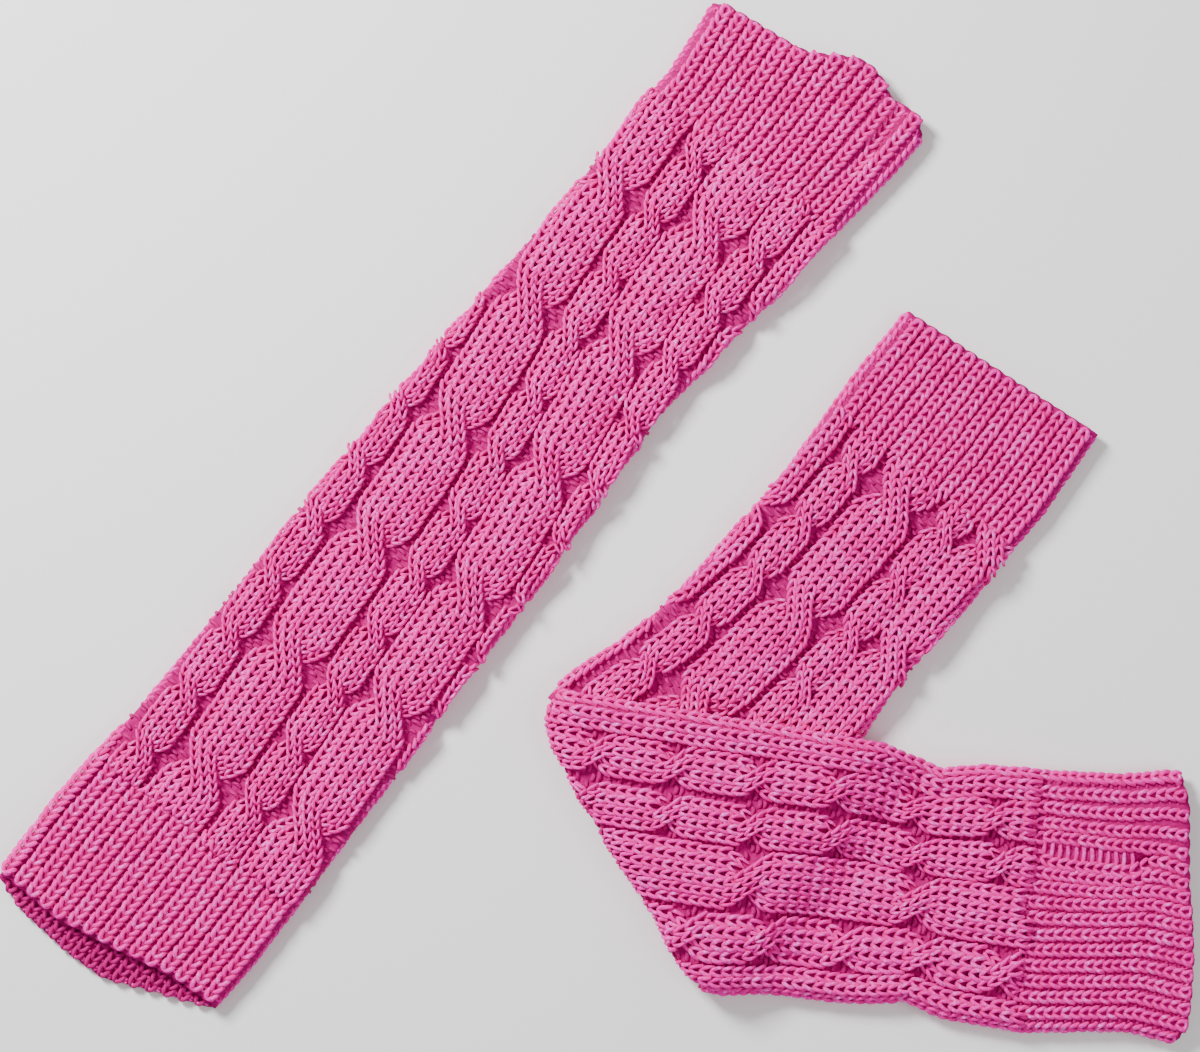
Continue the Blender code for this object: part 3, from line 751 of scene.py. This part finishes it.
def knit_cables(marks, arm, cables, start, end, tall, shows):
    """V stitches of every wale of the cables between two places."""
    for cable in cables:
        centre, half, wales, repeat, crossing = cable
        width = 2 * half / wales
        for along, offset, slant, step, side in cable_stitches(cable, start, end, tall):
            fabric = centre + offset
            if not shows(fabric, along):
                continue
            share = side_share(arm.rise(fabric, along))
            under = 0.0
            if side > 0:
                phase = cable_phase(along, repeat, crossing)
                over_middle = -sway(phase, half) * half / 2
                apart = abs(offset - over_middle) / (half / 2)
                if apart < HIDDEN:
                    continue
                under = DIVE * (1 - ease((apart - HIDDEN) / 1.1)) * (1 - ease(abs(phase) / half))
            height = ground_height(cables, fabric, along) * STITCH_SHARE + STANDING - under
            height = height * share - SINK * (1 - share)
            spot, axes, _ = stitch_frame(arm.surface, fabric, along, height, slant)
            wide = width * max(math.cos(math.atan(slant)), 0.7) / marks.wale
            marks.add(spot, axes, (wide, step / marks.row * 1.02, 1.0))


def knit_purl(marks, arm, cables, start, end, tall, shows):
    """Short bars of yarn across the ground between the cables."""
    for along, step in rows_between(start, end, tall):
        edges = [(cable[0] - reach(cable, along), cable[0] + reach(cable, along)) for cable in cables]
        for (_, left), (right, _) in zip(edges, edges[1:]):
            gap = right - left
            if gap < PURL_GAP:
                continue
            count = max(1, round(gap / PURL_WIDE))
            for number in range(count):
                fabric = left + gap * (number + 0.5) / count
                rise = arm.rise(fabric, along)
                if not shows(fabric, along) or rise < PURL_RISE:
                    continue
                place, height = along + step / 2 * (number % 2), PURL_UP * side_share(rise)
                spot, axes, _ = stitch_frame(arm.surface, fabric, place, height)
                wide = max(gap / count, 2.4) / marks.wale * 1.05
                marks.add(spot, axes, (wide, step / marks.row, 1.0))


def rows_between(start, end, tall):
    """Rows of stitches that fill a length evenly: where each is, and its height."""
    count = max(1, round((end - start) / tall))
    step = (end - start) / count
    return [(start + (number + 0.5) * step, step) for number in range(count)]


def loft(name, rings, material, hollow, open_ends=(0, -1)):
    """A closed mesh of cloth through rings of points, with a hollow that is open at some ends."""
    mesh = bmesh.new()
    outer = [[mesh.verts.new(point) for point in ring] for ring in rings]
    inner = [[mesh.verts.new(point) for point in ring] for ring in hollow]

    def band(below, above, flip=False):
        count = len(below)
        for k in range(count):
            corners = [below[k], below[(k + 1) % count], above[(k + 1) % count], above[k]]
            mesh.faces.new(reversed(corners) if flip else corners)

    for skin, flip in ((outer, False), (inner, True)):
        for below, above in zip(skin, skin[1:]):
            band(below, above, flip)
    for end in (0, -1):
        if end in open_ends:
            band(outer[end], inner[end])
        else:
            mesh.faces.new(outer[end])
            mesh.faces.new(inner[end])
    bmesh.ops.triangulate(mesh, faces=[face for face in mesh.faces if len(face.verts) > 4])
    bmesh.ops.recalc_face_normals(mesh, faces=mesh.faces)
    data = bpy.data.meshes.new(name)
    mesh.to_mesh(data)
    mesh.free()
    data.shade_smooth()
    data.materials.append(material)
    piece = bpy.data.objects.new(name, data)
    bpy.context.scene.collection.objects.link(piece)
    return piece


def tube_shell(name, arm, start, end, relief, material, sizes):
    """The cloth of a stretch of tube, with its hollow."""
    thick = sizes.shell / MM
    wales = [(k + 0.5) * GIRTH / CLOTH_COLUMNS - GIRTH / 2 for k in range(CLOTH_COLUMNS)]
    reaches = [(start(fabric), end(fabric)) for fabric in wales]
    rows = round(max(far - near for near, far in reaches) / CLOTH_ROW)
    rings, hollow = [], []
    for row in range(rows + 1):
        ring, inside = [], []
        for fabric, (near, far) in zip(wales, reaches):
            along = near + (far - near) * row / rows
            across, up, out, rise = arm.outline(fabric, along)
            tall = relief(fabric, along) * side_share(rise)
            ring.append(arm.place(along, across + tall * out, max(up + tall * rise, 0.0)))
            inside.append(arm.place(along, *arm.outline(fabric, along, thick)[:2]))
        rings.append(ring)
        hollow.append(inside)
    return loft(name, rings, material, hollow)


def above(arm):
    return lambda fabric, along: arm.rise(fabric, along) > LEAST_RISE


def on_rim(arm, table, wave):
    """A tube's end along a table of places across it."""
    def rim(fabric):
        along = lookup(table, 0.0)
        for settle in range(2):
            along = lookup(table, arm.outline(fabric, along)[0])
        return along + wave * arm.rib(fabric)

    return rim


def rib_ground(arm, dip=None):
    """The cloth's height below a cuff's ribs, less where it falls in along a thumb slit."""
    def relief(fabric, along):
        return RIB_CLOTH * arm.rib(fabric) - (dip(fabric, along) if dip else 0.0)

    return relief


def straight_arm_rim(fabric):
    across, _, _, rise = STRAIGHT.outline(fabric, 0.0)
    upper, lower = lookup(STRAIGHT_ARM_UPPER, across), lookup(STRAIGHT_ARM_LOWER, across)
    return lower + (upper - lower) * ease((rise + 1) / 2) - 0.5 * STRAIGHT.rib(fabric)


def under_end(fabric):
    """Where the under arm goes below the over arm's side."""
    along = 130.0  # near enough to settle from
    for settle in range(4):
        here = UNDER.start + UNDER.right * UNDER.outline(fabric, along)[0]
        side = OVER_WIDTHS[0][1] + OVERHANG - SEAM
        along = (side - (here - OVER.start).dot(OVER.right)) / UNDER.ahead.dot(OVER.right)
    return along


def hand_seam(fabric):
    return lookup(FOLDED_HAND_SEAM, OVER.outline(fabric, HAND_PLACE)[0])


def level(along):
    return lambda fabric: along


straight_hand_rim = on_rim(STRAIGHT, STRAIGHT_HAND, 0.5)
folded_arm_rim = on_rim(UNDER, FOLDED_ARM, -0.5)
folded_hand_rim = on_rim(OVER, FOLDED_HAND, 0.5)


def over_shell(name, material, sizes):
    """The fold and the arm above it, closed at the floor round the layers that they hide."""
    edge = OVER_TOP.half + OVER_TOP.arc * BEND
    wales = [edge * (2 * k / OVER_COLUMNS - 1) for k in range(OVER_COLUMNS + 1)]
    turns = [(angle, None) for angle in (-1.5, -1.25, -0.95, -0.6, -0.3)]
    turns += [(0.0, row / OVER_ROWS) for row in range(OVER_ROWS + 1)]
    rings, hollow = [], []
    for angle, share in turns:
        ring = []
        for fabric in wales:
            crest = OVER_TOP.crest(fabric)
            far = OVER_TOP.far(fabric) - SEAM / 2
            along = crest + angle * NOSE if share is None else crest + (far - crest) * share
            tall = ground_height(OVER_CABLES, fabric, along)
            tall *= side_share(OVER_TOP.rise(fabric, along))
            ring.append(OVER_TOP.surface(fabric, along, tall))
        left, right = ring[0], ring[-1]
        flat = Vector((left.x - right.x, left.y - right.y, 0.0)).normalized()
        low = (STEP + TUBE) / 2 * MM * (1 - math.cos(angle))
        inset = (OVERHANG - 0.8) * MM
        ring.append(Vector((right.x, right.y, low + (right.z - low) * 0.5)) + flat * inset)
        for k in range(9):
            spot = right.lerp(left, (k + 0.3) / 8.6)
            ring.append(Vector((spot.x, spot.y, low)))
        ring.append(Vector((left.x, left.y, low + (left.z - low) * 0.5)) - flat * inset)
        rings.append(ring)
        if share is not None:
            middle = (left + right) / 2
            high, thin = ring[OVER_COLUMNS // 2].z, sizes.shell
            inner = []
            for spot in ring:
                aside = Vector((spot.x - middle.x, spot.y - middle.y, 0.0))
                aside *= 1 - 2 * thin / (left - right).length
                lift = thin + (spot.z - low) * (1 - 2 * thin / (high - low))
                inner.append(Vector((middle.x + aside.x, middle.y + aside.y, low + lift)))
            hollow.append(inner)
    return loft(name, rings, material, hollow, open_ends=(-1,))


def knit_ribs(pieces, arm, near, far, rim, bend=None, dip=None):
    """A ribbed cuff: its wales, a bar of ground in each groove, and the loops along its rim.

    rim is -1 when the cuff's free edge is at its near end and 1 when it is at its far end.
    """
    marks, bars, loops = pieces
    shows = above(arm)

    def put(where, fabric, along, height, size, turned=0.0):
        moved = fabric + (bend(fabric, along) if bend else 0.0)
        ahead = fabric + (bend(fabric, along + 1.0) if bend else 0.0)
        if not shows(moved, along):
            return
        height -= dip(moved, along) if dip else 0.0
        share = side_share(arm.rise(moved, along))
        height = height * share - SINK * (1 - share)
        spot, axes, stretch = stitch_frame(arm.surface, moved, along, height, ahead - moved)
        if turned:
            axes = axes @ Matrix.Rotation(turned, 3, "Z")
        wide, tall, thick = size
        where.add(spot, axes, (wide * arm.pitch * stretch * MM / where.sizes.wale, tall, thick))

    last = round(RIBBED / arm.pitch) * 2
    for number in range(-last, last + 1):
        fabric = number * arm.pitch / 2
        if number % 2 == 0:
            where, up, wide, thick, inset = marks, RIB_UP, RIB_WIDE, 1.0, 1.2
            loop_up, loop_tall, run_on = RIB_LOOP_UP, 0.8, 1.2 + 1.6 * marks.random.random()
        else:
            where, up, wide, thick, inset = bars, GROOVE_UP, GROOVE_WIDE, 0.9, 1.8
            loop_up, loop_tall, run_on = GROOVE_LOOP_UP, 0.7, 0.4
        start, end = near(fabric), far(fabric)
        start, end = (start + inset, end + run_on) if rim < 0 else (start - run_on, end - inset)
        for along, step in rows_between(start, end, RIB_ROW):
            put(where, fabric, along, up, (wide, step / where.row, thick))
        along, turned = (start, math.pi) if rim < 0 else (end, 0.0)
        put(loops, fabric, along, loop_up, (wide, loop_tall, thick), turned)


def thumb_line(along):
    """The straight glove's thumb slit, round the tube."""
    return lookup(THUMB_SLIT, along)


def thumb_dip(fabric, along):
    """How deep the cloth falls in along the thumb slit."""
    apart = fabric - thumb_line(along)
    return 1.8 * math.exp(-(apart / 2.8) ** 2) * ease((along - 344.0) / 22.0)


def thumb_bend(fabric, along):
    """The ribs beside the thumb slit lean into it."""
    apart = fabric - thumb_line(along)
    return -math.copysign(0.8, apart) * math.exp(-(apart / 9.0) ** 2) * ease((along - 344.0) / 30.0)


def ladder_line(along):
    """The folded glove's thumb slit, round the tube."""
    return lookup(LADDER_SLIT, along)


def ladder_bend(fabric, along):
    """The ribs lean with the closed slit, part beside it and swing together past its end."""
    apart = fabric - LADDER_GROOVE
    lean = (ladder_line(along) - LADDER_GROOVE) * math.exp(-(apart / 14.0) ** 2)
    inside = ease((along - 50.0) / 8.0) * (1 - ease((along - 84.0) / 9.0))
    past = ease((along - 84.0) / 8.0) * (1 - ease((along - 94.0) / 12.0))
    part = math.copysign(1.9, apart) * math.exp(-(apart / 6.0) ** 2) * inside
    swing = 1.6 * math.exp(-((apart - 4.0) / 7.0) ** 2) * past
    return lean + (part if abs(apart) > 0.5 else 0.0) - swing


def ladder_dip(fabric, along):
    """How deep the cloth falls in at the open end of the folded glove's thumb slit."""
    apart = math.hypot((fabric - ladder_line(along)) / 2.0, (along - 88.6) / 3.4)
    return 2.6 * math.exp(-apart ** 2)


def knit_ladder(marks):
    """Short bars of yarn across the closed thumb slit of the folded glove."""
    for along, _ in rows_between(*LADDER_ROWS):
        spot, axes, _ = stitch_frame(OVER.surface, ladder_line(along), along, RIB_CLOTH)
        marks.add(spot, axes, (1.45, 1.0, 1.0))


def knit_mouth(pieces):
    """The lower face's inside, seen past the upper rim of the straight glove's arm end."""
    marks, bars, loops = pieces
    out = Matrix(((*STRAIGHT.right, 0), (*STRAIGHT.ahead, 0), (0, 0, 1))).transposed()
    over = out @ Matrix.Rotation(math.pi, 3, "Z")
    pitch = STRAIGHT.pitch
    for number in range(-14, 16):
        across = number * pitch / 2
        start, end = lookup(STRAIGHT_ARM_LOWER, across), lookup(STRAIGHT_ARM_UPPER, across) + 6.0
        standing = number % 2 == 0
        wide = (RIB_WIDE if standing else GROOVE_WIDE) * pitch * MM / marks.sizes.wale
        tall = marks.sizes.shell / MM + (RIB_CLOTH if standing else 0.2)
        loops.add(STRAIGHT.place(start + 0.8, across, tall - 0.3), over, (wide, 0.8, 0.9))
        for row in range(math.ceil((end - start) / RIB_ROW)):
            spot = STRAIGHT.place(start + 1.6 + row * RIB_ROW, across, tall)
            (marks if standing else bars).add(spot, out, (wide, 1.0, 0.9))


def knit_everything(sizes, colours):
    """All stitches, in a few meshes for each glove."""
    yarn = yarn_finish("yarn", colours.light, colours.deep, colours.glint)
    # A copy of the yarn in painted shade, for the bars in the gaps between the cables and for the
    # inside seen past the straight glove's rim
    shaded = yarn_finish("yarn_in_painted_shade", colours.below, colours.darkest_painted_shade, colours.below)
    legs = [[(side * x, y, z) for x, y, z in STITCH_LEG] for side in (-1, 1)]
    stitch = loop_tree("Knit stitch", legs, 6, 5)
    bar = loop_tree("Purl bar", [BAR_LEG], 5, 4)
    arch = loop_tree("Rim loop", [RIM_LEG], 6, 7)
    made = {}

    def knit(name, marks, tree, material=yarn):
        made[name] = marks.piece(name, tree, material)

    def knit_stretch(name, ground, arm, cables, start, end, shows, tall=sizes.row / MM):
        marks = Marks(sizes)
        knit_cables(marks, arm, cables, start, end, tall, shows)
        knit_purl(ground, arm, cables, start, end, tall, shows)
        knit(name, marks, stitch)

    def seen_under(fabric, along):
        return above(UNDER)(fabric, along) and along < min(under_end(fabric) + 0.5, UNDER_HIDDEN)

    ground, ribs, rims, mouth = (Marks(sizes) for number in range(4))
    for label, lower, upper in (
        ("lower", STRAIGHT_ARM_SEAM, STRAIGHT_MIDDLE), ("upper", STRAIGHT_MIDDLE, STRAIGHT_HAND_SEAM),
    ):
        knit_stretch(
            "straight_cables_" + label, ground, STRAIGHT, STRAIGHT_CABLES, lower, upper,
            above(STRAIGHT),
        )
    pieces = ribs, ground, rims
    knit_ribs(pieces, STRAIGHT, straight_arm_rim, level(STRAIGHT_ARM_SEAM), -1)
    knit_ribs(
        pieces, STRAIGHT, level(STRAIGHT_HAND_SEAM), straight_hand_rim, 1, thumb_bend, thumb_dip,
    )
    knit_mouth((mouth, ground, rims))
    # The inside past the rim gets the yarn in painted shade
    knit("straight_mouth", mouth, stitch, shaded)
    knit("straight_ribs", ribs, stitch)
    knit("straight_rims", rims, arch)
    knit("straight_ground", ground, bar, shaded)

    ground, ribs, rims, ladder = (Marks(sizes) for number in range(4))
    knit_stretch(
        "under_cables", ground, UNDER, UNDER_CABLES, FOLDED_ARM_SEAM, UNDER_LAST, seen_under,
    )
    knit_stretch(
        "over_cables", ground, OVER_TOP, OVER_CABLES, *OVER_KNITTED, OVER_TOP.shows,
        sizes.over_row / MM,
    )
    pieces = ribs, ground, rims
    knit_ribs(pieces, UNDER, folded_arm_rim, level(FOLDED_ARM_SEAM), -1)
    knit_ribs(pieces, OVER, hand_seam, folded_hand_rim, 1, ladder_bend, ladder_dip)
    knit_ladder(ladder)
    knit("folded_ribs", ribs, stitch)
    knit("folded_rims", rims, arch)
    knit("folded_thumb_ladder", ladder, bar)
    knit("folded_ground", ground, bar, shaded)
    return made


def settings():
    return bpy.context.scene.glove_sizes, bpy.context.scene.glove_colours


def dress(piece, slot):
    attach(piece, "root")


class GLOVES_OT_stitches(bpy.types.Operator):
    """Knit every stitch that shows"""

    bl_idname = "gloves.stitches"
    bl_label = "Stitches"

    def execute(self, context):
        sizes, colours = settings()
        for name, piece in knit_everything(sizes, colours).items():
            dress(piece, "yarn_cable" if "cables" in name else "yarn_rib")
        return {"FINISHED"}


class GLOVES_OT_cloth(bpy.types.Operator):
    """Make the cloth that the stitches stand on"""

    bl_idname = "gloves.cloth"
    bl_label = "Cloth"

    def execute(self, context):
        sizes, colours = settings()
        ground = ground_finish("yarn_ground", colours)
        gap = SEAM / 2
        tubes = (
            (
                "straight_arm_cuff", STRAIGHT, straight_arm_rim, level(STRAIGHT_ARM_SEAM - gap),
                rib_ground(STRAIGHT), "yarn_rib", (0.173, 0.053),
                ["straight_ribs", "straight_rims", "straight_mouth"],
            ),
            (
                "straight_cable_body", STRAIGHT, level(STRAIGHT_ARM_SEAM + gap),
                level(STRAIGHT_HAND_SEAM - gap), partial(ground_height, STRAIGHT_CABLES),
                "yarn_cable", (0.165, 0.294),
                ["straight_cables_lower", "straight_cables_upper", "straight_ground"],
            ),
            (
                "straight_hand_cuff", STRAIGHT, level(STRAIGHT_HAND_SEAM + gap), straight_hand_rim,
                rib_ground(STRAIGHT, thumb_dip), "yarn_rib", (0.165, 0.045), [],
            ),
            (
                "folded_arm_cuff", UNDER, folded_arm_rim, level(FOLDED_ARM_SEAM - gap),
                rib_ground(UNDER), "yarn_rib", (0.16, 0.043), ["folded_ribs", "folded_rims"],
            ),
            (
                "folded_under_stretch", UNDER, level(FOLDED_ARM_SEAM + gap), under_end,
                partial(ground_height, UNDER_CABLES), "yarn_cable", (0.165, 0.108),
                ["under_cables"],
            ),
            (
                "folded_hand_cuff", OVER, lambda fabric: hand_seam(fabric) + gap, folded_hand_rim,
                rib_ground(OVER, ladder_dip), "yarn_rib", (0.18, 0.055), ["folded_thumb_ladder"],
            ),
        )
        for node, arm, start, end, relief, slot, flat, stitches in tubes:
            piece = tube_shell(node + "_cloth", arm, start, end, relief, ground, sizes)
            dress(piece, slot)
            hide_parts(node)
            worn = [bpy.data.objects[name] for name in stitches]
        piece = over_shell("folded_over_stretch_cloth", ground, sizes)
        dress(piece, "yarn_cable")
        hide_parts("folded_over_stretch")
        worn = [bpy.data.objects[name] for name in ("over_cables", "folded_ground")]
        return {"FINISHED"}


class GLOVES_OT_stage(bpy.types.Operator):
    """Set the plain surface, the lights and the camera that looks straight down"""

    bl_idname = "gloves.stage"
    bl_label = "Stage"

    def execute(self, context):
        sizes, colours = settings()
        scene = context.scene
        data = bpy.data.meshes.new("surface")
        corners = [(-1, -1), (1, -1), (1, 1), (-1, 1)]
        data.from_pydata(
            [(x * FLOOR_HALF, y * FLOOR_HALF, FLOOR_UP) for x, y in corners], [], [(0, 1, 2, 3)],
        )
        floor = bpy.data.objects.new("surface", data)
        scene.collection.objects.link(floor)
        plain = Finish("surface", 0.9)
        place = plain.node("ShaderNodeTexCoord", out="Object")
        grain = plain.node("ShaderNodeTexNoise", {}, Vector=place, Scale=900.0, Detail=2.0)
        duller = tuple(part * 0.98 for part in colours.floor)
        plain.feed(Base_Color=plain.mix(grain, duller, colours.floor))
        data.materials.append(plain.material)
        world = bpy.data.worlds.new("Light room")
        world.use_nodes = True
        sky = world.node_tree.nodes["Background"].inputs
        sky["Color"].default_value = (1, 1, 1, 1)
        sky["Strength"].default_value = WORLD_LIGHT
        scene.world = world
        for name, spot, size, power in LAMPS:
            light = bpy.data.lights.new(name, "AREA")
            light.size = size
            light.energy = power
            lamp = bpy.data.objects.new(name, light)
            lamp.location = spot
            lamp.rotation_euler = (-Vector(spot)).to_track_quat("-Z", "Y").to_euler()
            scene.collection.objects.link(lamp)
        lens = bpy.data.cameras.new("Camera")
        lens.type = "PERSP"
        lens.lens = 85.0
        lens.sensor_width = 36.0
        camera = bpy.data.objects.new("Camera", lens)
        camera.location = CAMERA_AT
        scene.collection.objects.link(camera)
        scene.camera = camera
        return {"FINISHED"}


class GLOVES_PT_panel(bpy.types.Panel):
    """Buttons and sizes for the gloves"""

    bl_idname = "GLOVES_PT_panel"
    bl_label = "Knitted gloves"
    bl_space_type = "VIEW_3D"
    bl_region_type = "UI"
    bl_category = "Gloves"

    def draw(self, context):
        for group in settings():
            for name in group.bl_rna.properties.keys():
                if name not in ("rna_type", "name"):
                    self.layout.prop(group, name)
        for operator in OPERATORS:
            self.layout.operator(operator.bl_idname)


OPERATORS = (GLOVES_OT_stitches, GLOVES_OT_cloth, GLOVES_OT_stage)
CLASSES = (YarnSizes, YarnColours, *OPERATORS, GLOVES_PT_panel)


def register():
    for each in CLASSES:
        bpy.utils.register_class(each)
    bpy.types.Scene.glove_sizes = PointerProperty(type=YarnSizes)
    bpy.types.Scene.glove_colours = PointerProperty(type=YarnColours)


def unregister():
    del bpy.types.Scene.glove_colours
    del bpy.types.Scene.glove_sizes
    for each in reversed(CLASSES):
        bpy.utils.unregister_class(each)


def main():
    register()
    bpy.ops.gloves.stitches()
    bpy.ops.gloves.cloth()
    bpy.ops.gloves.stage()


if __name__ == "__main__":
    main()
